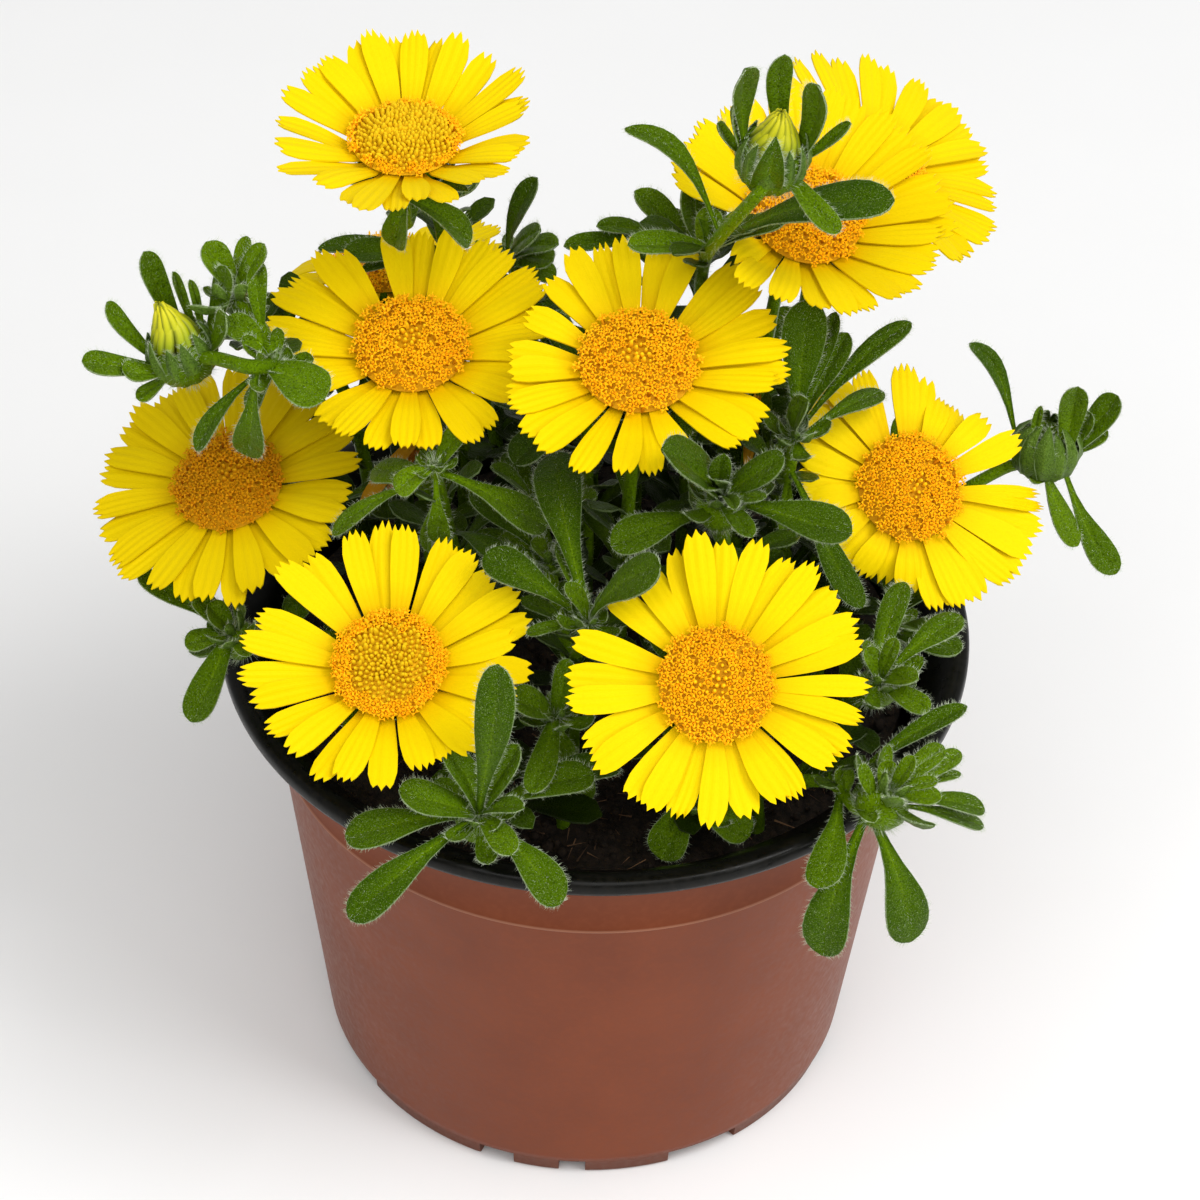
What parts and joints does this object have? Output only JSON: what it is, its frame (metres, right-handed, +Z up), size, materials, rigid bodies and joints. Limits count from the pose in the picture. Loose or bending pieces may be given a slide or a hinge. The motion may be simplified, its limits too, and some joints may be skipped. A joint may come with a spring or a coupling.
{
  "type": "potted flowering plant",
  "caption": "Bushy daisy-flowered plant with spoon-shaped leaves growing from soil in a round tapered pot with a rolled rim.",
  "frame": {"origin": "middle of the pot's flat centre foot, on the surface it stands on", "axes": "+Z up, -Y towards the viewer of the picture, +X to the viewer's right"},
  "size_m": [0.1597, 0.1291, 0.201],
  "materials": {
    "pot_plastic": "satin terracotta plastic, black on the rim and inside",
    "soil": "crumbly dark potting soil",
    "ray_petal": "soft yellow petal",
    "disc_floret": "orange florets",
    "leaf": "dark green leaf with pale hairs",
    "bud_ray": "yellow-green closed petals"
  },
  "bodies": {
    "root": {"pot": "pot_plastic", "rays_front_right": "ray_petal", "disc_front_right": "disc_floret", "stem_front_right": "leaf", "rays_front_left": "ray_petal", "disc_front_left": "disc_floret", "stem_front_left": "leaf", "rays_left_middle": "ray_petal", "disc_left_middle": "disc_floret", "stem_left_middle": "leaf", "rays_centre": "ray_petal", "disc_centre": "disc_floret", "stem_centre": "leaf", "rays_left": "ray_petal", "disc_left": "disc_floret", "stem_left": "leaf", "rays_right": "ray_petal", "disc_right": "disc_floret", "stem_right": "leaf", "rays_top_left": "ray_petal", "disc_top_left": "disc_floret", "stem_top_left": "leaf", "rays_top_right": "ray_petal", "disc_top_right": "disc_floret", "stem_top_right": "leaf", "rays_top_right_back": "ray_petal", "disc_top_right_back": "disc_floret", "stem_top_right_back": "leaf", "rays_back_left": "ray_petal", "disc_back_left": "disc_floret", "stem_back_left": "leaf", "shoot_left_bud": "leaf", "bud_rays_left_bud": "bud_ray", "shoot_top_bud": "leaf", "bud_rays_top_bud": "bud_ray", "shoot_right_bud": "leaf", "shoot_back_middle": "leaf", "shoot_back_right": "leaf", "shoot_centre_left": "leaf", "shoot_middle": "leaf", "shoot_centre_rosette": "leaf", "shoot_right_middle": "leaf", "shoot_left_low": "leaf", "shoot_front_rosette": "leaf", "shoot_low_middle": "leaf", "shoot_right_small": "leaf", "shoot_right_cluster": "leaf", "shoot_front_low": "leaf", "shoot_back_1": "leaf", "shoot_back_2": "leaf", "shoot_back_3": "leaf", "shoot_back_4": "leaf", "shoot_back_5": "leaf", "shoot_back_6": "leaf", "shoot_back_7": "leaf", "shoot_back_8": "leaf", "soil": "soil"}
  },
  "joints": []
}
